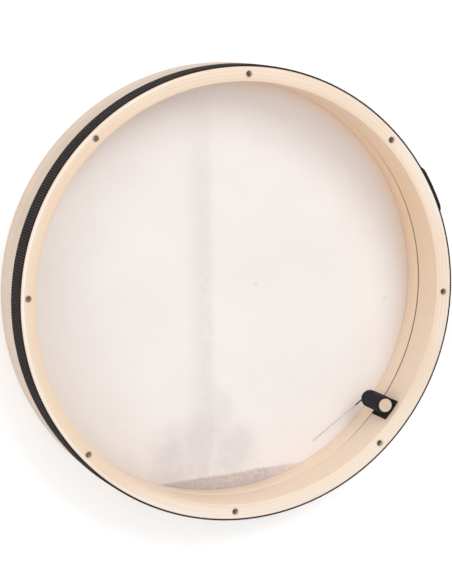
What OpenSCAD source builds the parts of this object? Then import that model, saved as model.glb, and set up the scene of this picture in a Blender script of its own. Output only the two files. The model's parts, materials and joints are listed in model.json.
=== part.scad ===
// Internally tuned bodhran: a shallow wooden hoop with one skin head, lying head down.
// +Z points out of the open back, Z = 0 is the head's outer face, and the drum's axis is the Z axis.
// The first tuning screw is on +Y, and the snare sits inside the wall on the +X, -Y side.

/* [Hoop] */
// Outside diameter of the wooden hoop
hoop_d = 400; // [380:5:460]
// Depth of the drum from the head's outer face to the back face
drum_depth = 65.5; // [62:0.5:90]
// Whole thickness of the wooden wall at the back face
wall_t = 13; // [12.8:0.1:15]
// Thickness of the thin outer hoop that the rings sit inside
outer_ply_t = 2.8; // [2:0.1:2.9]
// Radius of the eased wooden edges
edge_ease = 0.9; // [0.4:0.1:1.2]
// Height of the glued rear ring
rear_ring_h = 40.5; // [38:0.5:42]

/* [Head] */
// Thickness of the goat skin
skin_t = 0.7; // [0.5:0.1:1]
// Radius of the bend where the skin turns onto the hoop
skin_bend_r = 1.6; // [1.2:0.1:2]
// How far the skin's cut edge lies below the back face
skin_edge_drop = 7.5; // [5:0.5:12]

/* [Tuning] */
// Gap between the rear ring and the floating tuning ring at rest
tuning_gap = 1.5; // [1.4:0.1:3]
// Radial clearance between the tuning ring and the outer hoop
ring_clearance = 0.3; // [0.2:0.05:0.6]
// Body diameter of a tuning screw
screw_d = 4.9; // [4:0.1:5]
// How far a tuning screw's top lies below the back face
screw_sink = 3; // [2:0.5:6]
// Size of the hexagon socket across its flats
socket_flats = 2.5; // [2:0.5:2.5]
// Diameter of the clear hole above the threaded insert
screw_hole_d = 5.6; // [5.4:0.1:6]
// Outside diameter of the threaded insert and of the thrust plate
insert_d = 6.4; // [6.2:0.1:6.6]
// Length of the threaded insert
insert_h = 14; // [8:1:20]
// Thickness of the thrust plate under each screw
plate_t = 1.5; // [1:0.1:2]

/* [Trim band] */
// Width of the ribbed tape round the hoop
band_w = 24.1; // [18:0.1:30]
// Thickness of the ribbed tape
band_t = 1; // [0.6:0.1:1.4]
// How far the tape's edge lies below the back face
band_drop = 0.7; // [0.5:0.1:3]
// Extra thickness where the tape's ends overlap
overlap_t = 1.8; // [1:0.1:2.2]
// Direction of the overlap round the hoop, in degrees
overlap_angle = 27.7; // [24:0.1:34]
// Length of the overlap round the hoop at its foot
overlap_l = 46; // [30:1:50]

/* [Snare] */
// Direction of the snare round the hoop, in degrees
snare_angle = -35.8; // [-40:0.1:-28]
// Diameter of the wooden dowel
dowel_d = 12; // [11:0.5:12]
// Length of the wooden dowel
dowel_l = 39; // [36:0.5:42]
// How far the dowel's end lies below the back face
dowel_drop = 5.8; // [3:0.1:8]
// Thickness of the looped fabric sleeve round the dowel
sleeve_t = 2.2; // [2:0.1:2.4]
// How far the sleeve stops short of the dowel's upper end
sleeve_drop = 2; // [1:0.5:4]
// Width of the hooked pad on the wall
pad_w = 20; // [18:0.5:24]
// Height of the hooked pad
pad_h = 31; // [26:0.5:34]
// How far the hooked pad lies below the back face
pad_drop = 9; // [6:0.5:12]
// Thickness of the hooked pad
pad_t = 1.3; // [1:0.1:1.5]
// Diameter of the snare wire
wire_d = 0.6; // [0.5:0.1:0.8]
// Distance of the snare wire's tip from the drum's axis
wire_tip_r = 175; // [165:1:178]
// Direction of the snare wire's tip round the hoop, in degrees
wire_tip_angle = -56.1; // [-60:0.1:-54]
// Length of the rubber sheath on the snare wire
sheath_l = 11; // [6:1:20]

/* [Hidden] */
$fn = 96;
screw_count = 8;
screw_names = [for (i = [1:screw_count]) str("tuning_screw_", i)];

// Radii, from the outside in
hoop_r = hoop_d / 2;
ring_r = hoop_r - outer_ply_t;
wall_r = hoop_r - wall_t;
screw_circle_r = (hoop_r + wall_r) / 2;
skin_r = hoop_r + skin_t;
band_r = skin_r + band_t;
flat_head_r = skin_r - skin_bend_r;

// Heights, from the head up to the back face
hoop_front_gap = 1.6;
hoop_front_z = skin_bend_r + hoop_front_gap;
rear_ring_z = drum_depth - rear_ring_h;
tuning_ring_top_z = rear_ring_z - tuning_gap;
screw_top_z = drum_depth - screw_sink;
skin_edge_z = drum_depth - skin_edge_drop;
band_top_z = drum_depth - band_drop;
band_low_z = band_top_z - band_w;

// Tuning screws
thread_clearance = 0.05;
screw_r = screw_d / 2;
insert_bore_r = screw_r + thread_clearance;
screw_h = screw_top_z - tuning_ring_top_z;
screw_point_h = 1;
screw_point_taper = 1;
screw_chamfer = 0.4;
socket_depth = 3;
socket_r = socket_flats / 2 / cos(30);

// Snare
dowel_ease = 0.5;
sleeve_r = dowel_d / 2 + sleeve_t;
sleeve_gap = 0.3;
sleeve_clearance = 0.12;
sleeve_bore_r = dowel_d / 2 + sleeve_clearance;
sleeve_ease = 0.9;
snare_r = wall_r - pad_t - sleeve_gap - sleeve_r;
dowel_top_z = drum_depth - dowel_drop;
dowel_low_z = dowel_top_z - dowel_l;
sleeve_top_z = dowel_top_z - sleeve_drop;
wire_r = wire_d / 2;
wire_root_l = 8;
wire_drop = 8;
wire_skin_gap = 1.3;
wire_bend_swell = 0.06;
wire_bead_r = wire_r + 0.2;
wire_root = [snare_r * cos(snare_angle), snare_r * sin(snare_angle), dowel_low_z + wire_root_l];
wire_bend = [wire_root[0], wire_root[1], dowel_low_z - wire_drop];
wire_tip = [wire_tip_r * cos(wire_tip_angle), wire_tip_r * sin(wire_tip_angle),
            skin_t + wire_bead_r + wire_skin_gap];
sheath_t = 0.35;
sheath_start = 1.5;

// Places its children at each tuning screw's axis
module at_screw(i) {
    angle = 90 + i * 360 / screw_count;
    translate([screw_circle_r * cos(angle), screw_circle_r * sin(angle), 0]) children();
}

module at_every_screw() {
    for (i = [0:screw_count - 1]) at_screw(i) children();
}

// Half section of a ring, with its inner and its outer edges eased by their own radii
module ring_section(r_in, r_out, z_low, z_high, ease_in, ease_out) {
    h = z_high - z_low;
    translate([r_in + ease_in, z_low]) square([r_out - ease_out - r_in - ease_in, h]);
    if (ease_in > 0) {
        translate([r_in, z_low + ease_in]) square([ease_in, h - 2 * ease_in]);
        for (z = [z_low + ease_in, z_high - ease_in]) translate([r_in + ease_in, z]) circle(ease_in);
    }
    if (ease_out > 0) {
        translate([r_out - ease_out, z_low + ease_out]) square([ease_out, h - 2 * ease_out]);
        for (z = [z_low + ease_out, z_high - ease_out]) translate([r_out - ease_out, z]) circle(ease_out);
    }
}

module plain_ring(r_in, r_out, z_low, z_high) {
    rotate_extrude() translate([r_in, z_low]) square([r_out - r_in, z_high - z_low]);
}

// Round bar from one point to another
module bar(from, to, r) {
    way = to - from;
    translate(from)
        rotate([0, acos(way[2] / norm(way)), atan2(way[1], way[0])])
            cylinder(h = norm(way), r = r);
}

// Thin full-depth laminate that the skin is fixed to
module outer_hoop() {
    color("burlywood")
        rotate_extrude() ring_section(ring_r, hoop_r, hoop_front_z, drum_depth, 0, edge_ease);
}

// Thick ring glued inside the back of the hoop, drilled for the tuning screws
module rear_ring() {
    color("wheat")
        difference() {
            rotate_extrude() ring_section(wall_r, ring_r, rear_ring_z, drum_depth, edge_ease, 0);
            at_every_screw() {
                translate([0, 0, rear_ring_z - 1]) cylinder(h = rear_ring_h + 2, d = screw_hole_d);
                translate([0, 0, rear_ring_z - 1]) cylinder(h = insert_h + 1, d = insert_d);
            }
        }
}

// Floating ring under the rear ring, which the screws push against the skin
module tuning_ring() {
    color("burlywood")
        difference() {
            rotate_extrude()
                ring_section(wall_r, ring_r - ring_clearance, skin_t, tuning_ring_top_z,
                             edge_ease, edge_ease);
            at_every_screw()
                translate([0, 0, tuning_ring_top_z - plate_t]) cylinder(h = plate_t + 1, d = insert_d);
        }
}

// Playing face of the skin, with the bend at its rim
module head_skin() {
    color("linen")
        rotate_extrude() {
            square([flat_head_r, skin_t]);
            intersection() {
                translate([flat_head_r, skin_bend_r])
                    difference() {
                        circle(skin_bend_r);
                        circle(skin_bend_r - skin_t);
                    }
                translate([flat_head_r, 0]) square(skin_bend_r);
            }
        }
}

// The skin's turned-up edge, glued round the hoop
module skin_wrap() {
    color("antiquewhite") plain_ring(hoop_r, skin_r, skin_bend_r, skin_edge_z);
}

// Ribbed tape over the skin's edge
module trim_band() {
    color("dimgray")
        difference() {
            plain_ring(hoop_r, band_r, band_low_z, band_top_z);
            plain_ring(hoop_r - 1, skin_r, band_low_z - 1, skin_edge_z);
        }
}

// Second layer where the tape's ends overlap, tapered at both ends
module band_overlap() {
    taper = 5;
    inset = 0.3;
    outer_r = band_r + overlap_t;
    foot_x = band_r * cos(asin(overlap_l / 2 / band_r));
    color("dimgray")
        rotate(overlap_angle)
            translate([0, 0, band_low_z + inset])
                linear_extrude(band_w - 2 * inset)
                    intersection() {
                        difference() {
                            circle(outer_r);
                            circle(band_r);
                        }
                        polygon([[foot_x - 1, -overlap_l / 2], [outer_r + 1, taper - overlap_l / 2],
                                 [outer_r + 1, overlap_l / 2 - taper], [foot_x - 1, overlap_l / 2]]);
                    }
}

// Small steel discs let into the tuning ring, which the screws bear on
module thrust_plates() {
    color("lightsteelblue")
        at_every_screw() translate([0, 0, tuning_ring_top_z - plate_t]) cylinder(h = plate_t, d = insert_d);
}

// Brass sleeves in the rear ring that the screws turn in
module threaded_inserts() {
    color("goldenrod")
        at_every_screw()
            translate([0, 0, rear_ring_z])
                difference() {
                    cylinder(h = insert_h, d = insert_d);
                    translate([0, 0, -1]) cylinder(h = insert_h + 2, r = insert_bore_r);
                }
}

// Headless screw with a hexagon socket, bearing on its thrust plate
module tuning_screw(i) {
    color("silver")
        at_screw(i)
            difference() {
                union() {
                    translate([0, 0, tuning_ring_top_z])
                        cylinder(h = screw_point_h, r1 = screw_r - screw_point_taper, r2 = screw_r);
                    translate([0, 0, tuning_ring_top_z + screw_point_h])
                        cylinder(h = screw_h - screw_point_h - screw_chamfer, r = screw_r);
                    translate([0, 0, screw_top_z - screw_chamfer])
                        cylinder(h = screw_chamfer, r1 = screw_r, r2 = screw_r - screw_chamfer);
                }
                translate([0, 0, screw_top_z - socket_depth])
                    cylinder(h = socket_depth + 1, r = socket_r, $fn = 6);
            }
}

// Hooked pad stuck to the rear ring's wall
module snare_pad() {
    color("black")
        rotate(snare_angle)
            translate([0, 0, drum_depth - pad_drop - pad_h])
                intersection() {
                    rotate_extrude() translate([wall_r - pad_t, 0]) square([pad_t, pad_h]);
                    translate([0, -pad_w / 2, 0]) cube([hoop_r, pad_w, pad_h]);
                }
}

module at_snare() {
    translate([wire_root[0], wire_root[1], 0]) children();
}

// Short wooden rod that carries the wire
module snare_dowel() {
    color("wheat")
        difference() {
            at_snare()
                translate([0, 0, dowel_low_z])
                    rotate_extrude() {
                        square([dowel_d / 2, dowel_l - dowel_ease]);
                        square([dowel_d / 2 - dowel_ease, dowel_l]);
                        translate([dowel_d / 2 - dowel_ease, dowel_l - dowel_ease]) circle(dowel_ease);
                    }
            bar(wire_bend, wire_root, wire_r);
        }
}

// Looped fabric tube round the dowel, which grips the hooked pad
module snare_sleeve() {
    color("darkslategray")
        at_snare()
            rotate_extrude()
                ring_section(sleeve_bore_r, sleeve_r, dowel_low_z, sleeve_top_z, 0, sleeve_ease);
}

// Springy wire from the dowel's end, bent over to lie on the skin, with a small bead at its tip
module snare_wire() {
    color("gray") {
        bar(wire_bend - [0, 0, wire_r / 2], wire_root, wire_r);
        translate(wire_bend) sphere(wire_r + wire_bend_swell);
        bar(wire_bend, wire_tip, wire_r);
        translate(wire_tip) sphere(wire_bead_r);
    }
}

// Rubber tube over the first stretch of the wire
module snare_wire_sheath() {
    way = (wire_tip - wire_bend) / norm(wire_tip - wire_bend);
    start = wire_bend + sheath_start * way;
    end = start + sheath_l * way;
    color("black")
        difference() {
            bar(start, end, wire_r + sheath_t);
            bar(start - way, end + way, wire_r);
        }
}

outer_hoop();
rear_ring();
tuning_ring();
head_skin();
skin_wrap();
trim_band();
band_overlap();
thrust_plates();
threaded_inserts();
for (i = [0:screw_count - 1]) tuning_screw(i);
snare_pad();
snare_dowel();
snare_sleeve();
snare_wire();
snare_wire_sheath();
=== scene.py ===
import json
import math
import random

import bmesh
import bpy
from mathutils import Matrix, Vector, noise


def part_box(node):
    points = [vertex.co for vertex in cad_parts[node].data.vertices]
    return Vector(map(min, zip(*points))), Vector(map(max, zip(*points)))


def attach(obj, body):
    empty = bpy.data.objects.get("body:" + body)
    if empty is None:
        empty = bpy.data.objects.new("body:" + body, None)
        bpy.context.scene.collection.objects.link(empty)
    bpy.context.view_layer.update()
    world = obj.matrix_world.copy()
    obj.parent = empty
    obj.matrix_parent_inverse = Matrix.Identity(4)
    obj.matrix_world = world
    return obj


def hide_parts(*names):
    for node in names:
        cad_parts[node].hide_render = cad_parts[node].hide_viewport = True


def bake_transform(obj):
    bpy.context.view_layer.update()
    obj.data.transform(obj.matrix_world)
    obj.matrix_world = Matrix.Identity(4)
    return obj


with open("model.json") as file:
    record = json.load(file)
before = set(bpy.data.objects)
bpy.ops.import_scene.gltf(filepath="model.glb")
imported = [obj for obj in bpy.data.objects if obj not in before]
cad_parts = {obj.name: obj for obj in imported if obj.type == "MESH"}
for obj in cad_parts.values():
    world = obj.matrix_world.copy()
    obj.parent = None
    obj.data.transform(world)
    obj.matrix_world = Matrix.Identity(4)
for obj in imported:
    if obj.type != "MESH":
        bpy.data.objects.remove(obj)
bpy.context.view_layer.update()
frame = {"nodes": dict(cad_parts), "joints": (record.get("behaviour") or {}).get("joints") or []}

MM = 0.001
TAU = 2 * math.pi

# ---------------------------------------------------------------- sizes, from the frame where it has them

def radii(node):
    """How far each vertex of a CAD node is from the Z axis."""
    return [math.hypot(v.co.x, v.co.y) for v in frame["nodes"][node].data.vertices]


HOOP_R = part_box("outer_hoop")[1].x
HOOP_LOW_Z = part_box("outer_hoop")[0].z
BACK_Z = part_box("outer_hoop")[1].z
RING_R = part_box("rear_ring")[1].x
REAR_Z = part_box("rear_ring")[0].z
TUNING_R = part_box("tuning_ring")[1].x
TUNING_LOW_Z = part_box("tuning_ring")[0].z
TUNING_TOP_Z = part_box("tuning_ring")[1].z
WALL_R = min(radii("rear_ring"))
SKIN_T = TUNING_LOW_Z
SKIN_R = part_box("skin_wrap")[1].x
SKIN_EDGE_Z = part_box("skin_wrap")[1].z
BEND_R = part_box("skin_wrap")[0].z
BAND_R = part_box("trim_band")[1].x
BAND_LOW_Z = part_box("trim_band")[0].z
BAND_TOP_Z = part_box("trim_band")[1].z
EASE = 0.9 * MM
PLY_COUNT = 6
HOOP_STEPS = 720
SKIN_STEPS = 480
PINHOLE_R = 0.5 * MM

RIB_PITCH = 2.4 * MM
RIB_COUNT = round(TAU * BAND_R / RIB_PITCH)
RIB_DEPTH = 0.4 * MM
STEPS_PER_RIB = 8
SELVEDGE = 0.5 * MM
LOOSE_SIDE, LOOSE_SPREAD = -157, 32  # degrees round the hoop
LOOSE_LIFT = 1.1 * MM
OVERLAP_T = max(radii("band_overlap")) - BAND_R

SCREWS = [j for j in frame["joints"] if j["child"].startswith("tuning_screw")]
SCREW_R = math.hypot(SCREWS[0]["pos_m"][0], SCREWS[0]["pos_m"][1])
SCREW_HOLE_R = 2.8 * MM
INSERT_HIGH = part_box("threaded_inserts")[1]
INSERT_R = INSERT_HIGH.y - SCREW_R
PLATE_LOW_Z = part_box("thrust_plates")[0].z

SLEEVE_LOW, SLEEVE_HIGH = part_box("snare_sleeve")
DOWEL_LOW, DOWEL_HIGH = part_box("snare_dowel")
SNARE = (DOWEL_LOW + DOWEL_HIGH) / 2
DOWEL_R = (DOWEL_HIGH.x - DOWEL_LOW.x) / 2
SLEEVE_R = (SLEEVE_HIGH.x - SLEEVE_LOW.x) / 2
SNARE_ANGLE = math.atan2(SNARE.y, SNARE.x)
PAD_LOW, PAD_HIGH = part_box("snare_pad")
PAD_T = 1.3 * MM
PAD_W = 20 * MM
PAD_BASE_T = 0.55 * MM
LOOP_COUNT = 1100
LOOP_THREAD_R = 0.05 * MM
WIRE_R = 0.28 * MM
BEAD_R = 0.5 * MM
SHEATH_R = 0.64 * MM
SHEATH_LENGTH = 9.0 * MM


# ---------------------------------------------------------------- objects

def add_object(name, data):
    made = bpy.data.objects.new(name, data)
    bpy.context.scene.collection.objects.link(made)
    return made


# ---------------------------------------------------------------- camera

def place_camera():
    """The photo's viewpoint, turned a little about its own axis."""
    azimuth, elevation, roll = math.radians(158.8), math.radians(68.68), math.radians(1.74)
    distance = 2.184
    target = Vector((-0.0151, 0.0032, BACK_Z))
    back = Vector((math.cos(elevation) * math.cos(azimuth),
                   math.cos(elevation) * math.sin(azimuth), math.sin(elevation)))
    up = (Vector((0, 1, 0)) - back * back.y).normalized()
    up.rotate(Matrix.Rotation(roll, 3, back))
    right = up.cross(back)
    data = bpy.data.cameras.new("camera")
    data.lens = 154.1
    data.clip_end = 20
    camera = add_object("camera", data)
    camera.matrix_world = Matrix.Translation(target + back * distance) @ Matrix(
        (right, up, back)).transposed().to_4x4()
    bpy.context.scene.camera = camera


place_camera()


# ---------------------------------------------------------------- mesh helpers

def mesh_object(name, vertices, faces, smooth_angle=40):
    data = bpy.data.meshes.new(name)
    data.from_pydata(vertices, [], faces)
    data.validate()
    piece = add_object(name, data)
    tidy(piece, smooth_angle)
    return piece


def tidy(piece, smooth_angle=40):
    """Joins doubled vertices and shades smooth, apart from edges sharper than smooth_angle degrees."""
    work = bmesh.new()
    work.from_mesh(piece.data)
    bmesh.ops.remove_doubles(work, verts=work.verts, dist=1e-7)
    bmesh.ops.recalc_face_normals(work, faces=work.faces)
    limit = math.radians(smooth_angle)
    for edge in work.edges:
        if len(edge.link_faces) == 2 and edge.calc_face_angle(0) > limit:
            edge.smooth = False
    for face in work.faces:
        face.smooth = True
    work.to_mesh(piece.data)
    work.free()


def lathe(name, section, steps, shift=None, smooth_angle=40):
    """Turns a closed (radius, height) section round Z; shift(angle, i) moves a section point outwards."""
    count = len(section)
    vertices = []
    for step in range(steps):
        angle = TAU * step / steps
        for i, (radius, height) in enumerate(section):
            r = radius + (shift(angle, i) if shift else 0)
            vertices.append((r * math.cos(angle), r * math.sin(angle), height))
    faces = []
    for step in range(steps):
        here, after = step * count, (step + 1) % steps * count
        for i in range(count):
            j = (i + 1) % count
            faces.append((here + i, after + i, after + j, here + j))
    return mesh_object(name, vertices, faces, smooth_angle)


def arc(centre, radius, start, end, steps):
    """Points of an arc in the (radius, height) plane, angles in degrees."""
    points = []
    for k in range(steps + 1):
        angle = math.radians(start + (end - start) * k / steps)
        points.append((centre[0] + radius * math.cos(angle), centre[1] + radius * math.sin(angle)))
    return points


def ring_section(r_in, r_out, z_low, z_high, ease_in, ease_out, rows=6):
    """Closed section of a ring, its corners rounded to ease_in and ease_out, or sharp where that is 0."""
    points = []
    corners = [(r_out, z_low, ease_out, 270, 360), (r_out, z_high, ease_out, 0, 90),
               (r_in, z_high, ease_in, 90, 180), (r_in, z_low, ease_in, 180, 270)]
    for r, z, ease, start, end in corners:
        if ease:
            centre = (r + (ease if r == r_in else -ease), z + (ease if z == z_low else -ease))
            points += arc(centre, ease, start, end, rows)
        else:
            points.append((r, z))
    return points


def cut_holes(piece, radius, z_low, z_high, sides=48):
    """Cuts a round hole at every tuning screw."""
    cutters = bmesh.new()
    for joint in SCREWS:
        x, y = joint["pos_m"][:2]
        place = Matrix.Translation((x, y, (z_low + z_high) / 2))
        bmesh.ops.create_cone(cutters, cap_ends=True, segments=sides, radius1=radius, radius2=radius,
                              depth=z_high - z_low, matrix=place)
    data = bpy.data.meshes.new("cutters")
    cutters.to_mesh(data)
    cutters.free()
    cutter = add_object("cutters", data)
    modifier = piece.modifiers.new("holes", "BOOLEAN")
    modifier.operation = "DIFFERENCE"
    modifier.solver = "EXACT"
    modifier.object = cutter
    apply_modifiers(piece)
    bpy.data.objects.remove(cutter)
    tidy(piece)


def close_mesh(work, data, smooth):
    """Turns a bmesh's faces outwards, shades them smooth or flat, and writes them to the mesh."""
    bmesh.ops.recalc_face_normals(work, faces=work.faces)
    for face in work.faces:
        face.smooth = smooth
    work.to_mesh(data)
    work.free()


def bridge(work, rings):
    """Closed tube of faces over rings of bmesh vertices, capped at both ends."""
    for first, second in zip(rings, rings[1:]):
        for s in range(len(first)):
            t = (s + 1) % len(first)
            work.faces.new((first[s], first[t], second[t], second[s]))
    work.faces.new(rings[0][::-1])
    work.faces.new(rings[-1])


def apply_modifiers(piece):
    bpy.context.view_layer.update()
    graph = bpy.context.evaluated_depsgraph_get()
    result = bpy.data.meshes.new_from_object(piece.evaluated_get(graph))
    piece.modifiers.clear()
    piece.data = result


def tube(name, points, thick, sides):
    """Round tube through the points, of radius thick[k] at point k, closed at both ends."""
    vertices, faces = [], []
    side = None
    for k, point in enumerate(points):
        way = (points[min(k + 1, len(points) - 1)] - points[max(k - 1, 0)]).normalized()
        if side is None:
            side = way.orthogonal().normalized()
        side = (side - way * side.dot(way)).normalized()
        other = way.cross(side)
        for s in range(sides):
            angle = TAU * s / sides
            vertices.append(point + (side * math.cos(angle) + other * math.sin(angle)) * thick[k])
    for k in range(len(points) - 1):
        for s in range(sides):
            t = (s + 1) % sides
            faces.append((k * sides + s, k * sides + t, (k + 1) * sides + t, (k + 1) * sides + s))
    faces.append(tuple(range(sides))[::-1])
    last = (len(points) - 1) * sides
    faces.append(tuple(range(last, last + sides)))
    return mesh_object(name, vertices, faces)


# ---------------------------------------------------------------- material helpers

class Recipe:
    """One procedural material and the few node calls that the materials share."""

    def __init__(self, name, roughness, **shader):
        self.material = bpy.data.materials.new(name)
        self.material.use_nodes = True
        self.tree = self.material.node_tree
        self.shader = self.tree.nodes["Principled BSDF"]
        self.shader.inputs["Roughness"].default_value = roughness
        for key, value in shader.items():
            self.shader.inputs[key.replace("_", " ")].default_value = value
        self.place = self.node("TexCoord").outputs["Object"]
        split = self.node("SeparateXYZ", self.place)
        self.x, self.y, self.z = split.outputs
        self.r = self.length(self.x, self.y)

    def node(self, kind, *inputs, **settings):
        made = self.tree.nodes.new("ShaderNode" + kind)
        for key, value in settings.items():
            setattr(made, key, value)
        for socket, value in zip(made.inputs, inputs):
            self.put(socket, value)
        return made

    def put(self, socket, value):
        if isinstance(value, bpy.types.NodeSocket):
            self.tree.links.new(value, socket)
        elif value is not None:
            socket.default_value = value

    def calc(self, operation, *values):
        return self.node("Math", *values, operation=operation).outputs[0]

    def times(self, first, second):
        return self.calc("MULTIPLY", first, second)

    def plus(self, first, second):
        return self.calc("ADD", first, second)

    def minus(self, first, second):
        return self.calc("SUBTRACT", first, second)

    def length(self, x, y):
        return self.calc("SQRT", self.plus(self.times(x, x), self.times(y, y)))

    def ramp(self, value, low, high):
        """0 below low and 1 above high, with a soft step between; low may be the larger."""
        made = self.node("MapRange", value, low, high, 0.0, 1.0, interpolation_type="SMOOTHSTEP")
        return made.outputs[0]

    def mix(self, factor, first, second):
        """Blends two colours, each a socket or an (r, g, b) tuple."""
        made = self.node("Mix", data_type="RGBA")
        for index, value in ((0, factor), (6, first), (7, second)):
            self.put(made.inputs[index], (*value, 1) if isinstance(value, tuple) else value)
        return made.outputs[2]

    def over(self, tone, mask, strength, colour):
        """The tone with a colour laid over it, at that strength where the mask is 1."""
        return self.mix(self.times(mask, strength), tone, colour)

    def grained(self, across, along):
        """A place for noise: x and y scaled by across, and along in the third direction."""
        x, y = self.times(self.x, across), self.times(self.y, across)
        return self.node("CombineXYZ", x, y, along).outputs[0]

    def noise(self, place, scale, detail=3.0, rough=0.55):
        made = self.node("TexNoise")
        for key, value in (("Vector", place), ("Scale", scale), ("Detail", detail), ("Roughness", rough)):
            self.put(made.inputs[key], value)
        return made.outputs["Fac"]

    def cells(self, place, scale):
        """Distance from the middle of scattered cells."""
        made = self.node("TexVoronoi")
        self.put(made.inputs["Vector"], place)
        self.put(made.inputs["Scale"], scale)
        return made.outputs["Distance"]

    def spot(self, x, y, radius, soft):
        """1 within radius of a point of the XY plane, fading to 0 over soft."""
        far = self.length(self.minus(self.x, x), self.minus(self.y, y))
        return self.ramp(far, radius + soft, radius)

    def blot(self, x, y, wide, tall):
        """1 in the middle of an oval of the XY plane, fading to 0 at its ragged edge."""
        far = self.length(self.calc("DIVIDE", self.minus(self.x, x), wide),
                          self.calc("DIVIDE", self.minus(self.y, y), tall))
        ragged = self.times(self.minus(self.noise(self.place, 45.0, 4.0, 0.6), 0.5), 0.9)
        return self.ramp(self.plus(far, ragged), 1.25, 0.35)

    def streak(self, x, slope, wide, depth):
        """1, falling by depth along a soft line down the skin, where the grey fan is."""
        axis = self.plus(self.times(self.plus(self.y, 0.16), slope), x)
        wander = self.times(self.minus(self.noise(self.place, 50.0, 3.0), 0.5), wide * 1.5)
        off = self.calc("ABSOLUTE", self.plus(self.minus(self.x, axis), wander))
        line = self.times(self.ramp(off, wide, 0.0), self.ramp(self.y, -0.122, -0.145))
        return self.minus(1.0, self.times(line, depth))

    def colour(self, value):
        self.put(self.shader.inputs["Base Color"], value)

    def rough(self, factor, low, high):
        made = self.node("MapRange", factor, 0.0, 1.0, low, high)
        self.put(self.shader.inputs["Roughness"], made.outputs[0])

    def bump(self, height, distance, strength=1.0):
        made = self.node("Bump")
        self.put(made.inputs["Strength"], strength)
        self.put(made.inputs["Distance"], distance)
        self.put(made.inputs["Height"], height)
        self.put(self.shader.inputs["Normal"], made.outputs[0])


def dress(piece, material, body, node):
    """Gives a piece its material and slot, and puts it on its body in place of the CAD node."""
    piece.data.materials.clear()
    piece.data.materials.append(material)
    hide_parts(node)
    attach(piece, body)


# ---------------------------------------------------------------- materials

def hoop_wood(name, seed):
    """Bent laminate: grain runs round the hoop, and the plies show as rings on faces square to Z."""
    m = Recipe(name, 0.42, Coat_Weight=0.18, Coat_Roughness=0.3)
    depth = m.plus(m.z, m.r)
    streak = m.noise(m.grained(14.0, m.plus(m.times(depth, 420.0), seed)), 1.0, 5.0, 0.6)
    pore = m.noise(m.grained(70.0, m.plus(m.times(depth, 1700.0), seed)), 1.0, 2.0, 0.5)
    cloud = m.noise(m.place, 9.0, 3.0, 0.5)
    facing = m.node("SeparateXYZ", m.node("NewGeometry").outputs["Normal"]).outputs[2]
    flat = m.ramp(m.calc("ABSOLUTE", facing), 0.45, 0.8)
    tone = m.mix(flat, veneer(m, streak, pore, cloud), plies(m, streak, cloud))
    tone = screw_marks(m, tone, flat)
    m.colour(gap_shade(m, tone))
    m.rough(streak, 0.36, 0.52)
    m.bump(m.plus(m.times(streak, 0.6), m.times(pore, 0.4)), 0.12 * MM, 0.5)
    return m.material


def veneer(m, streak, pore, cloud):
    """The round faces, with painted light: more orange on the drum's +Y side for painted bounce light, and
    paler on the other.
    """
    tone = m.mix(m.ramp(streak, 0.25, 0.75), (0.860, 0.645, 0.460), (0.905, 0.715, 0.535))
    tone = m.over(tone, m.ramp(pore, 0.60, 0.78), 0.16, (0.66, 0.46, 0.31))
    tone = m.over(tone, m.ramp(cloud, 0.35, 0.7), 0.35, (0.88, 0.72, 0.57))
    # Painted bounce light: the wood more orange towards +Y
    tone = m.over(tone, m.ramp(m.y, -0.06, 0.10), 0.45, (0.86, 0.57, 0.36))
    # Painted light: the wood paler towards -Y
    return m.over(tone, m.ramp(m.y, 0.02, -0.14), 0.42, (0.93, 0.78, 0.64))


def plies(m, streak, cloud):
    """The faces square to Z: rings of plies, every second one darker in places, with glue lines between."""
    ply = m.calc("DIVIDE", m.minus(m.r, WALL_R), (RING_R - WALL_R) / PLY_COUNT)
    part = m.calc("FRACT", ply)
    even = m.calc("GREATER_THAN", m.calc("FRACT", m.times(ply, 0.5)), 0.5)
    line = m.calc("MAXIMUM", m.ramp(part, 0.07, 0.0), m.ramp(part, 0.93, 1.0))
    outwards = m.ramp(m.r, WALL_R - MM, WALL_R + 7 * MM)
    tone = m.mix(outwards, (0.770, 0.590, 0.430), (0.830, 0.715, 0.615))
    tone = m.over(tone, m.ramp(m.r, WALL_R + 7.5 * MM, WALL_R + 9.5 * MM), 0.65, (0.835, 0.745, 0.690))
    tone = m.over(tone, m.times(even, m.ramp(cloud, 0.30, 0.60)), 0.60, (0.740, 0.590, 0.460))
    tone = m.over(tone, m.ramp(streak, 0.35, 0.75), 0.30, (0.68, 0.51, 0.38))
    warm = m.noise(m.place, 5.0, 2.0, 0.5)
    tone = m.over(tone, m.ramp(warm, 0.45, 0.65), 0.40, (0.72, 0.54, 0.38))
    # Inner plies tanner on the -X side, and the whole face paler towards -Y and +X
    tanned = m.times(m.ramp(m.x, -0.02, -0.16), m.ramp(m.r, WALL_R + 10.5 * MM, WALL_R + 8.5 * MM))
    tone = m.over(tone, tanned, 0.60, (0.70, 0.52, 0.36))
    bleached = m.times(m.ramp(m.y, -0.06, -0.15), m.ramp(m.x, -0.04, 0.06))
    tone = m.over(tone, bleached, 0.50, (0.850, 0.745, 0.640))
    return m.over(tone, line, 0.42, (0.46, 0.32, 0.21))


def screw_marks(m, tone, flat):
    """A darker ring round each screw hole, on the flat faces only."""
    spacing = TAU / len(SCREWS)
    turn = m.calc("DIVIDE", m.calc("ARCTAN2", m.y, m.x), spacing)
    off = m.minus(m.calc("FRACT", m.plus(turn, 0.5 + len(SCREWS))), 0.5)
    far = m.length(m.times(off, spacing * SCREW_R), m.minus(m.r, SCREW_R))
    return m.over(tone, m.times(m.ramp(far, 4.4 * MM, SCREW_HOLE_R), flat), 0.30, (0.36, 0.25, 0.17))


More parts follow.
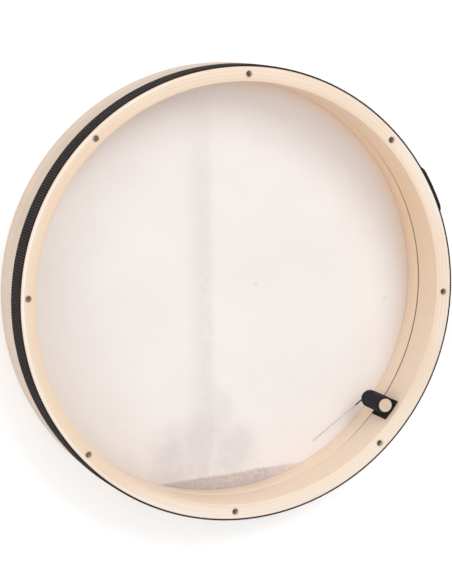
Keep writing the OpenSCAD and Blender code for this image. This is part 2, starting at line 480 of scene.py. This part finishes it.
def gap_shade(m, tone):
    """Shade and dust in the narrow gap between the two inner rings, painted strongest towards +X."""
    gap = m.times(m.ramp(m.z, TUNING_TOP_Z - EASE, TUNING_TOP_Z), m.ramp(m.z, REAR_Z + EASE, REAR_Z))
    gap = m.times(gap, m.calc("LESS_THAN", m.r, RING_R + 0.1 * MM))
    gap = m.times(gap, m.ramp(m.x, 0.105, 0.190))
    return m.over(tone, gap, 0.80, (0.10, 0.055, 0.03))


def dowel_wood():
    """Pale sanded dowel with end grain on its ends."""
    m = Recipe("dowel_wood", 0.6)
    heart = m.length(m.minus(m.x, SNARE.x + 4 * MM), m.minus(m.y, SNARE.y - 9 * MM))
    rings = m.calc("SINE", m.times(heart, 5200.0))
    fibre = m.noise(m.grained(900.0, m.times(m.z, 30.0)), 1.0, 4.0)
    tone = m.mix(m.ramp(fibre, 0.35, 0.7), (0.57, 0.42, 0.31), (0.70, 0.54, 0.42))
    m.colour(m.over(tone, m.ramp(rings, -0.2, 1.0), 0.22, (0.54, 0.40, 0.29)))
    m.rough(fibre, 0.5, 0.7)
    m.bump(fibre, 0.1 * MM, 0.6)
    return m.material


def goat_skin():
    """Natural hide: milky and mottled, with a grey spine line and a brown patch near the rim."""
    m = Recipe("goat_skin", 0.5, Sheen_Weight=0.08)
    soft = m.noise(m.place, 11.0, 4.0, 0.55)
    fine = m.noise(m.place, 95.0, 5.0, 0.6)
    grain = m.noise(m.place, 900.0, 3.0, 0.6)
    wavy = m.minus(m.noise(m.place, 30.0, 5.0, 0.65), 0.5)
    tone = m.mix(m.ramp(soft, 0.35, 0.68), (0.750, 0.712, 0.700), (0.773, 0.742, 0.728))
    tone = m.over(tone, m.ramp(fine, 0.45, 0.75), 0.10, (0.73, 0.67, 0.65))
    # Painted shade: the head a little darker towards -X
    tone = m.over(tone, m.ramp(m.x, 0.02, -0.12), 0.12, (0.66, 0.62, 0.60))
    tone = skin_rim(m, tone, wavy)
    tone = skin_spine(m, tone, wavy)
    tone = skin_fan(m, tone)
    tone = skin_patch(m, tone, wavy)
    # Small single marks
    for x, y, radius in ((0.037, 0.001, 1.0 * MM), (0.165, -0.014, 1.2 * MM)):
        tone = m.over(tone, m.spot(x, y, radius, 2.0 * MM), 0.18, (0.42, 0.34, 0.30))
    turned_up = m.ramp(m.r, HOOP_R - 2 * MM, HOOP_R + 0.2 * MM)
    m.colour(m.mix(turned_up, tone, skin_edge(m, soft)))
    m.rough(fine, 0.42, 0.62)
    m.bump(m.plus(m.times(fine, 0.7), m.times(grain, 0.3)), 0.25 * MM, 0.35)
    return m.material


def skin_rim(m, tone, wavy):
    """The head is yellower towards the rim, most of all on the +Y side: painted bounce light and shade from
    the wooden wall, partly a stain where the skin lies over the ring.
    """
    upper = m.plus(m.times(m.ramp(m.y, -0.12, 0.05), 0.8), 0.2)
    # Painted bounce light off the wooden wall: the head yellower towards the rim
    rim = m.times(m.ramp(m.r, WALL_R - 35 * MM, WALL_R), upper)
    tone = m.over(tone, rim, 0.20, (0.72, 0.62, 0.53))
    # Painted bounce light and shade at the wall's foot, partly a stain where the skin lies over the ring
    ragged_r = m.plus(m.r, m.times(wavy, 0.006))
    painted_bounce_and_stain = m.times(m.ramp(ragged_r, WALL_R - 14 * MM, WALL_R + MM), upper)
    return m.over(tone, painted_bounce_and_stain, 0.48, (0.76, 0.58, 0.44))


def skin_spine(m, tone, wavy):
    """Spine: a broad faint band with a speckled core, sharper on its +X side."""
    lean = m.plus(m.times(m.y, -0.045), -0.0148)
    side = m.plus(m.minus(m.x, lean), m.times(wavy, 0.012))
    band = m.times(m.ramp(side, -0.020, -0.004), m.ramp(side, 0.0145, 0.0055))
    core = m.times(m.ramp(side, -0.010, 0.001), m.ramp(side, 0.011, 0.005))
    core = m.times(core, m.ramp(m.noise(m.place, 160.0, 4.0, 0.7), 0.30, 0.62))
    core = m.times(core, m.times(m.ramp(m.y, 0.18, 0.06), m.ramp(m.y, -0.16, -0.09)))
    spine = m.plus(m.times(band, 0.14), m.times(core, 0.15))
    ends = m.times(m.ramp(m.y, 0.21, 0.10), m.ramp(m.y, -0.165, -0.125))
    return m.mix(m.times(spine, ends), tone, (0.50, 0.46, 0.46))


def skin_fan(m, tone):
    """The spine ends in a grey fan with two pale streaks through it."""
    fan = m.calc("MAXIMUM", m.blot(-0.035, -0.157, 0.026, 0.031), m.blot(0.017, -0.155, 0.028, 0.031))
    fan = m.calc("MAXIMUM", fan, m.blot(-0.008, -0.148, 0.030, 0.036))
    fan = m.calc("MAXIMUM", fan, m.times(m.blot(0.006, -0.116, 0.016, 0.030), 0.5))
    fan = m.times(fan, m.ramp(m.noise(m.place, 70.0, 5.0, 0.65), 0.0, 0.62))
    fan = m.times(fan, m.streak(0.0010, 0.08, 6.5 * MM, 0.45))
    fan = m.times(fan, m.streak(-0.0260, -0.20, 6.5 * MM, 0.30))
    return m.over(tone, fan, 0.42, (0.46, 0.43, 0.45))


def skin_patch(m, tone, wavy):
    """Brown speckled patch below a slanted line near the rim, sandy along its upper edge."""
    edge = m.minus(m.times(m.x, 0.118), 0.1748)
    below = m.minus(m.plus(edge, m.times(wavy, 0.005)), m.y)
    patch = m.times(m.ramp(below, -0.0015, 0.002), m.ramp(m.x, 0.110, 0.045))
    patch = m.times(patch, m.ramp(m.x, -0.064, -0.042))
    brown = m.mix(m.ramp(m.cells(m.place, 340.0), -0.20, 0.70), (0.33, 0.28, 0.27), (0.50, 0.43, 0.42))
    brown = m.over(brown, m.ramp(m.noise(m.place, 200.0, 5.0, 0.7), 0.35, 0.7), 0.7, (0.41, 0.36, 0.355))
    sand = m.times(m.ramp(m.noise(m.place, 330.0, 3.0, 0.6), 0.46, 0.64), m.ramp(m.x, -0.03, 0.02))
    brown = m.over(brown, m.times(sand, m.ramp(below, 0.013, 0.005)), 0.6, (0.66, 0.56, 0.44))
    inside = m.calc("LESS_THAN", m.r, HOOP_R - 1 * MM)
    return m.mix(m.times(m.times(patch, 0.85), inside), tone, brown)


def skin_edge(m, soft):
    """The turned-up edge, yellower than the head, and darker just under the tape on the +Y side: there partly
    painted shade, partly a yellow stain.
    """
    tone = m.mix(m.ramp(soft, 0.35, 0.65), (0.615, 0.480, 0.375), (0.665, 0.530, 0.425))
    fibres = m.noise(m.grained(260.0, m.times(m.z, 40.0)), 1.0, 4.0, 0.6)
    tone = m.over(tone, m.ramp(fibres, 0.5, 0.8), 0.15, (0.74, 0.61, 0.49))
    # Painted shade under the tape on the +Y side, partly a yellow stain
    under = m.times(m.ramp(m.z, 12 * MM, 24 * MM), m.ramp(m.y, -0.02, 0.07))
    return m.over(tone, under, 0.30, (0.45, 0.33, 0.22))


def black_tape():
    """Woven tape: the ribs are geometry, with painted shade darkening the grooves; the threads over them are
    in the bump.
    """
    m = Recipe("black_tape", 0.85, Specular_IOR_Level=0.15)
    thread = m.calc("SINE", m.times(m.z, TAU / (0.45 * MM)))
    dust = m.noise(m.place, 45.0, 5.0, 0.65)
    lint = m.noise(m.place, 1500.0, 3.0, 0.7)
    tone = m.mix(m.ramp(dust, 0.35, 0.75), (0.035, 0.030, 0.030), (0.062, 0.049, 0.043))
    tone = m.over(tone, m.ramp(lint, 0.66, 0.85), 0.35, (0.12, 0.11, 0.11))
    # Painted shade: the grooves between the ribs darkened
    wave = m.calc("SINE", m.times(m.calc("ARCTAN2", m.y, m.x), RIB_COUNT))
    m.colour(m.mix(m.ramp(wave, 0.5, -0.1), tone, (0.006, 0.005, 0.005)))
    m.rough(dust, 0.78, 0.92)
    m.bump(m.plus(m.times(thread, 0.3), lint), 0.15 * MM, 0.6)
    return m.material


def fuzzy_black(name, low, high):
    """Black pile or hooks, from the low tone between the tufts to the high one on them."""
    m = Recipe(name, 0.95, Sheen_Weight=0.04, Sheen_Roughness=0.5, Specular_IOR_Level=0.25)
    tuft = m.noise(m.place, 700.0, 5.0, 0.7)
    tone = m.mix(m.ramp(tuft, 0.3, 0.75), low, high)
    m.colour(m.over(tone, m.ramp(m.noise(m.place, 140.0, 3.0, 0.6), 0.5, 0.75), 0.4, high))
    m.bump(tuft, 0.4 * MM, 0.8)
    return m.material


def metal(name, dark, light, roughness, lines):
    """Turned or drawn metal with fine lines square to Z, and some tarnish."""
    m = Recipe(name, roughness, Metallic=1.0)
    turned = m.noise(m.grained(60.0, m.times(m.z, lines)), 1.0, 3.0, 0.6)
    painted_bounce_and_stain = m.noise(m.place, 420.0, 4.0, 0.6)
    m.colour(m.mix(m.ramp(painted_bounce_and_stain, 0.35, 0.7), dark, light))
    m.rough(painted_bounce_and_stain, roughness - 0.1, roughness + 0.15)
    m.bump(turned, 0.05 * MM, 0.5)
    return m.material


def black_rubber():
    m = Recipe("black_rubber", 0.6)
    m.colour(m.mix(m.noise(m.place, 800.0, 3.0), (0.012, 0.012, 0.013), (0.035, 0.034, 0.036)))
    m.bump(m.noise(m.place, 2500.0, 2.0), 0.03 * MM, 0.4)
    return m.material


WOOD_REAR = hoop_wood("hoop_wood_rear", 3.0)
WOOD_TUNING = hoop_wood("hoop_wood_tuning", 41.0)
WOOD_OUTER = hoop_wood("hoop_wood_outer", 87.0)
SKIN = goat_skin()
TAPE = black_tape()


# ---------------------------------------------------------------- the hoop

def make_hoop():
    """The thin outer hoop, the rear ring inside it and the tuning ring that floats below."""
    outer = lathe("outer_hoop_wood", ring_section(RING_R, HOOP_R, HOOP_LOW_Z, BACK_Z, 0, EASE), HOOP_STEPS)
    dress(outer, WOOD_OUTER, "frame", "outer_hoop")
    rear = lathe("rear_ring_wood", ring_section(WALL_R, RING_R, REAR_Z, BACK_Z, EASE, 0), HOOP_STEPS)
    cut_holes(rear, SCREW_HOLE_R, REAR_Z - MM, BACK_Z + MM)
    cut_holes(rear, INSERT_R, REAR_Z - MM, INSERT_HIGH.z)
    dress(rear, WOOD_REAR, "frame", "rear_ring")
    section = ring_section(WALL_R, TUNING_R, TUNING_LOW_Z, TUNING_TOP_Z, EASE, EASE)
    tuning = lathe("tuning_ring_wood", section, HOOP_STEPS)
    cut_holes(tuning, INSERT_R, PLATE_LOW_Z, TUNING_TOP_Z + MM)
    dress(tuning, WOOD_TUNING, "head_and_ring", "tuning_ring")


make_hoop()


# ---------------------------------------------------------------- the skin

def skin_ripple(angle, height):
    """Slight pull marks of the hide on the hoop's outside, none under the tape or at the bend."""
    room = min(1, max(0, (height - 4 * MM) / (8 * MM))) * min(1, max(0, (BAND_LOW_Z - height) / (6 * MM)))
    around = Vector((math.cos(angle) * 5, math.sin(angle) * 5, height * 30))
    return room * 0.35 * MM * max(0, noise.noise(around) + 0.35)


def make_skin():
    """One sheet: the flat head, its bend, and the edge turned up round the hoop."""
    flat_r = SKIN_R - BEND_R
    spans, rows = 24, 26
    across = [PINHOLE_R] + [flat_r * k / spans for k in range(1, spans + 1)]
    heights = [BEND_R + (SKIN_EDGE_Z - BEND_R) * k / rows for k in range(1, rows + 1)]
    outside = [(r, 0.0) for r in across] + arc((flat_r, BEND_R), BEND_R, -90, 0, 8)[1:]
    outside += [(SKIN_R, z) for z in heights]
    inside = [(HOOP_R, z) for z in heights[::-1]]
    inside += arc((flat_r, BEND_R), BEND_R - SKIN_T, 0, -90, 8) + [(r, SKIN_T) for r in across[-2::-1]]
    section = outside + inside
    first_wrap = len(outside) - rows

    def shift(angle, i):
        return skin_ripple(angle, section[i][1]) if first_wrap <= i < len(outside) else 0

    skin = lathe("goat_skin_head", section, SKIN_STEPS, shift)
    close_centre(skin)
    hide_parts("head_skin", "skin_wrap")
    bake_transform(skin)
    skin.data.materials.append(SKIN)


def close_centre(piece):
    """Caps the pinhole that the lathe leaves on the axis of a disc."""
    work = bmesh.new()
    work.from_mesh(piece.data)
    small = [f for f in work.faces if all(math.hypot(v.co.x, v.co.y) < 1.2 * PINHOLE_R for v in f.verts)]
    bmesh.ops.delete(work, geom=small, context="FACES")
    bmesh.ops.holes_fill(work, edges=[e for e in work.edges if e.is_boundary], sides=0)
    close_mesh(work, piece.data, smooth=True)


make_skin()


# ---------------------------------------------------------------- the ribbed tape

def tape_rows(z_low, z_high):
    """Heights across the tape, with the share of the rib's height at each: the ribs sink in at both edges."""
    middle = (z_low + z_high) / 2
    return [(z_low, 0.0), (z_low + SELVEDGE * 0.4, 0.7), (z_low + SELVEDGE, 1.0), (middle, 1.0),
            (z_high - SELVEDGE, 1.0), (z_high - SELVEDGE * 0.4, 0.7), (z_high, 0.0)]


def rib_height(angle):
    """0 in a groove and up to 1 on the rounded crown of a rib, at an angle round the hoop."""
    return max(0, math.sin(angle * RIB_COUNT)) ** 0.5


def tape_flare(angle, height):
    """How far the tape's lower edge lifts off the skin on the side where it was pulled less tight."""
    off = math.degrees(math.remainder(angle - math.radians(LOOSE_SIDE), TAU))
    down = (BAND_TOP_Z - height) / (BAND_TOP_Z - BAND_LOW_Z)
    return LOOSE_LIFT * math.exp(-(off / LOOSE_SPREAD) ** 2) * down


def make_band():
    """The tape round the hoop, ribbed outside, with a step inside over the skin's cut edge."""
    rows = tape_rows(BAND_LOW_Z, BAND_TOP_Z)
    base = BAND_R - RIB_DEPTH
    section = [(base, z) for z, _ in rows] + [(HOOP_R, BAND_TOP_Z), (HOOP_R, SKIN_EDGE_Z + 0.2 * MM),
                                              (SKIN_R, SKIN_EDGE_Z + 0.2 * MM), (SKIN_R, BAND_LOW_Z)]

    def shift(angle, i):
        if i >= len(rows):
            return 0
        return RIB_DEPTH * rows[i][1] * rib_height(angle) + tape_flare(angle, rows[i][0])

    band = lathe("ribbed_tape", section, RIB_COUNT * STEPS_PER_RIB, shift, smooth_angle=60)
    dress(band, TAPE, "frame", "trim_band")


def make_overlap():
    """The doubled end of the tape: the same ribs on a strip that lifts and tapers at its ends."""
    low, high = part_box("band_overlap")
    middle = math.atan2(low.y + high.y, low.x + high.x)
    half = max(abs(math.atan2(v.co.y, v.co.x) - middle) for v in frame["nodes"]["band_overlap"].data.vertices)
    rows = tape_rows(low.z, high.z)
    steps = round(2 * half / TAU * RIB_COUNT * STEPS_PER_RIB)
    vertices, faces = [], []
    for k in range(steps + 1):
        share = k / steps
        angle = middle + half * (2 * share - 1)
        lift = min(1, min(share, 1 - share) / 0.10) ** 0.7
        for z, rib in rows:
            r = BAND_R + (OVERLAP_T - RIB_DEPTH + RIB_DEPTH * rib * rib_height(angle)) * lift
            vertices.append((r * math.cos(angle), r * math.sin(angle), z))
        for z, _ in reversed(rows):
            r = BAND_R - RIB_DEPTH * 0.5
            vertices.append((r * math.cos(angle), r * math.sin(angle), z))
    count = 2 * len(rows)
    for k in range(steps):
        for i in range(count):
            j = (i + 1) % count
            faces.append((k * count + i, (k + 1) * count + i, (k + 1) * count + j, k * count + j))
    faces.append(tuple(range(count)))
    faces.append(tuple(range(steps * count, (steps + 1) * count))[::-1])
    overlap = mesh_object("ribbed_tape_overlap", vertices, faces, 60)
    dress(overlap, TAPE, "frame", "band_overlap")


make_band()
make_overlap()


# ---------------------------------------------------------------- the snare

def make_sleeve():
    """Looped fabric rolled round the dowel: a lumpy tube with a seam and a coat of short loops."""
    random.seed(7)
    inner, outer = DOWEL_R + 0.02 * MM, SLEEVE_R - 0.35 * MM
    low, high = SLEEVE_LOW.z, SLEEVE_HIGH.z
    section = ring_section(inner, outer, low, high, 0, 1.1 * MM)
    fine = []
    for k, point in enumerate(section):
        following = section[(k + 1) % len(section)]
        parts = max(1, int(math.dist(point, following) / (0.5 * MM)))
        for p in range(parts):
            share = p / parts
            fine.append(tuple(a + (b - a) * share for a, b in zip(point, following)))
    centre = Vector((SNARE.x, SNARE.y, 0))

    def shift(angle, i):
        r, z = fine[i]
        if r <= inner + 0.1 * MM:
            return 0
        place = Vector((math.cos(angle) * r, math.sin(angle) * r, z))
        lump = noise.noise(place * 260) * 0.16 + noise.noise(place * 1100) * 0.15
        seam = math.exp(-((angle - 2.2) * r / (0.5 * MM)) ** 2) * -0.45
        return (lump + seam) * MM

    body = lathe("snare_sleeve_fabric", fine, 96, shift, 180)
    for vertex in body.data.vertices:
        vertex.co += centre
    add_loops(body, centre, outer, low + 0.4 * MM, high - 0.5 * MM)
    fuzz = fuzzy_black("loop_fabric", (0.004, 0.005, 0.008), (0.020, 0.021, 0.029))
    dress(body, fuzz, "snare", "snare_sleeve")


def add_loops(body, centre, radius, low, high):
    """Sews short thread loops into the sleeve's surface."""
    work = bmesh.new()
    work.from_mesh(body.data)
    for _ in range(LOOP_COUNT):
        angle, z = random.uniform(0, TAU), random.uniform(low, high)
        lean = random.uniform(0, math.pi)
        reach = random.uniform(0.25, 0.45) * MM
        out = Vector((math.cos(angle), math.sin(angle), 0))
        around = Vector((-math.sin(angle), math.cos(angle), 0))
        along = around * math.cos(lean) + Vector((0, 0, math.sin(lean)))
        foot = centre + out * (radius - 0.15 * MM) + Vector((0, 0, z))
        points = [foot + along * (0.4 * MM * math.cos(t)) + out * ((reach + 0.15 * MM) * math.sin(t))
                  for t in (0, 0.7, 1.4, 2.1, 2.8)]
        bridge(work, [thread_ring(work, points, k) for k in range(len(points))])
    close_mesh(work, body.data, smooth=True)


def thread_ring(work, points, k):
    """Three vertices round point k of a thread, square to its run."""
    way = (points[min(k + 1, len(points) - 1)] - points[max(k - 1, 0)]).normalized()
    side = way.orthogonal().normalized()
    other = way.cross(side)
    return [work.verts.new(points[k] + (side * math.cos(a) + other * math.sin(a)) * LOOP_THREAD_R)
            for a in (0, TAU / 3, 2 * TAU / 3)]


def make_pad():
    """Hooked pad: a thin curved base with rows of small hooks facing the drum's middle."""
    low, high = PAD_LOW.z, PAD_HIGH.z
    half = math.asin(PAD_W / 2 / WALL_R)
    work = bmesh.new()
    pad_base(work, low, high, half)
    rows, columns = 22, 14
    for row in range(rows):
        z = low + (high - low) * (row + 0.5) / rows
        shift = 0.25 if row % 2 else -0.25
        for column in range(columns):
            pad_hook(work, SNARE_ANGLE + half * (2 * (column + 0.5 + shift) / columns - 1), z)
    data = bpy.data.meshes.new("snare_pad_hooks")
    close_mesh(work, data, smooth=False)
    hooks = fuzzy_black("hook_pad", (0.010, 0.010, 0.011), (0.040, 0.038, 0.040))
    dress(add_object("snare_pad_hooks", data), hooks, "frame", "snare_pad")


def pad_base(work, low, high, half, steps=16):
    """The pad's base, curved to the wall and a hair clear of it."""
    back_r, front_r = WALL_R - 0.02 * MM, WALL_R - PAD_BASE_T
    rings = []
    for k in range(steps + 1):
        angle = SNARE_ANGLE + half * (2 * k / steps - 1)
        corners = [(back_r, low), (back_r, high), (front_r, high), (front_r, low)]
        rings.append([work.verts.new((r * math.cos(angle), r * math.sin(angle), z)) for r, z in corners])
    bridge(work, rings)


def pad_hook(work, angle, z):
    """One hook: a stub on the base, wider and flatter at its tip."""
    out = Vector((math.cos(angle), math.sin(angle), 0))
    across = Vector((-out.y, out.x, 0))
    foot = out * (WALL_R - PAD_BASE_T) + Vector((0, 0, z))
    tip = foot - out * (PAD_T - PAD_BASE_T - 0.1 * MM)
    ends = []
    for point, wide, tall in ((foot, 0.35, 0.45), (tip, 0.42, 0.30)):
        ends.append([work.verts.new(point + across * (a * wide * MM) + Vector((0, 0, b * tall * MM)))
                     for a, b in ((-1, -1), (1, -1), (1, 1), (-1, 1))])
    bridge(work, ends)


def smooth_path(corners, bend, steps=10):
    """Straight runs joined by round bends that start bend metres from each inner corner."""
    points = [corners[0]]
    for before, corner, after in zip(corners, corners[1:], corners[2:]):
        start = corner + (before - corner).normalized() * bend
        end = corner + (after - corner).normalized() * bend
        for k in range(steps + 1):
            t = k / steps
            points.append(start * (1 - t) ** 2 + corner * 2 * t * (1 - t) + end * t ** 2)
    points.append(corners[-1])
    return points


def make_wire():
    """Springy wire out of the dowel's end, bent over to lie along the skin, with a bead at its tip."""
    low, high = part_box("snare_wire")
    root = Vector((SNARE.x, SNARE.y, high.z - 0.2 * MM))
    corner = Vector((SNARE.x, SNARE.y, DOWEL_LOW.z - 8 * MM))
    tip = low + Vector((BEAD_R, BEAD_R, BEAD_R))
    way = (tip - corner).normalized()
    points = smooth_path([root, corner, tip], 3 * MM)
    wire = tube("snare_wire_steel", points, [WIRE_R] * len(points), 14)
    ends = [tip - way * 0.9 * MM, tip - way * 0.5 * MM, tip, tip + way * 0.35 * MM, tip + way * 0.5 * MM]
    bead = tube("snare_wire_bead", ends, [WIRE_R] + [BEAD_R * s for s in (0.9, 1, 0.7, 0.2)], 14)
    steel = metal("wire_steel", (0.42, 0.41, 0.41), (0.66, 0.64, 0.63), 0.45, 1500.0)
    dress(wire, steel, "snare", "snare_wire")
    bead.data.materials.append(steel)
    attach(bead, "snare")
    make_sheath(corner + way * 3.2 * MM, way)


def make_sheath(start, way):
    """Short rubber tube over the wire, rounded in at both ends."""
    end = start + way * SHEATH_LENGTH
    profile = [(0, 0.62), (0.02, 0.9), (0.06, 1), (0.5, 0.98), (0.94, 1), (0.98, 0.92), (1, 0.62)]
    sheath = tube("snare_wire_sheath_rubber", [start.lerp(end, share) for share, _ in profile],
                  [SHEATH_R * swell for _, swell in profile], 16)
    dress(sheath, black_rubber(), "snare", "snare_wire_sheath")


make_sleeve()
make_pad()
make_wire()


# ---------------------------------------------------------------- finishes of the CAD pieces that stay

def finish_cad_nodes():
    """Puts finishes on the screws, plates, inserts and dowel, whose meshes are used as they are."""
    screw = metal("screw_steel", (0.16, 0.13, 0.11), (0.42, 0.38, 0.35), 0.28, 1250.0)
    plate = metal("plate_steel", (0.35, 0.35, 0.35), (0.60, 0.60, 0.60), 0.40, 900.0)
    brass = metal("insert_brass", (0.50, 0.34, 0.14), (0.82, 0.62, 0.30), 0.35, 1400.0)
    finishes = {"thrust_plates": plate, "threaded_inserts": brass, "snare_dowel": dowel_wood()}
    for joint in SCREWS:
        finishes[joint["child"]] = screw
    for node, material in finishes.items():
        piece = frame["nodes"][node]
        for slot in range(len(piece.material_slots)):
            piece.material_slots[slot].material = material


finish_cad_nodes()


# ---------------------------------------------------------------- floor and light

LIGHT_TARGET = Vector((0, 0, 0.03))


def make_stage():
    """A white floor that glows slightly, which keeps the drum's shadow faint."""
    half = 8.0
    floor = mesh_object("floor", [(-half, -half, 0), (half, -half, 0), (half, half, 0), (-half, half, 0)],
                        [(0, 1, 2, 3)])
    material = bpy.data.materials.new("floor")
    material.use_nodes = True
    shader = material.node_tree.nodes["Principled BSDF"]
    shader.inputs["Base Color"].default_value = (0.94, 0.94, 0.94, 1)
    shader.inputs["Roughness"].default_value = 0.9
    shader.inputs["Emission Color"].default_value = (1, 1, 1, 1)
    shader.inputs["Emission Strength"].default_value = 0.13
    floor.data.materials.append(material)


def area_light(name, place, size, power):
    """White disc light aimed at the middle of the drum."""
    data = bpy.data.lights.new(name, "AREA")
    data.shape = "DISK"
    data.size = size
    data.energy = power
    light = add_object(name, data)
    light.location = place
    light.rotation_euler = (LIGHT_TARGET - Vector(place)).to_track_quat("-Z", "Y").to_euler()


def make_light():
    area_light("key", (0.6, 1.5, 2.4), 1.4, 28)
    area_light("fill", (-1.8, 0.0, 1.9), 1.8, 16.2)
    area_light("top", (-0.2, 0.1, 2.8), 2.4, 15)
    world = bpy.data.worlds.new("studio")
    bpy.context.scene.world = world
    world.use_nodes = True
    sky = world.node_tree.nodes["Background"]
    sky.inputs["Color"].default_value = (1, 1, 1, 1)
    sky.inputs["Strength"].default_value = 0.60
    bpy.context.scene.view_settings.view_transform = "Standard"


make_stage()
make_light()
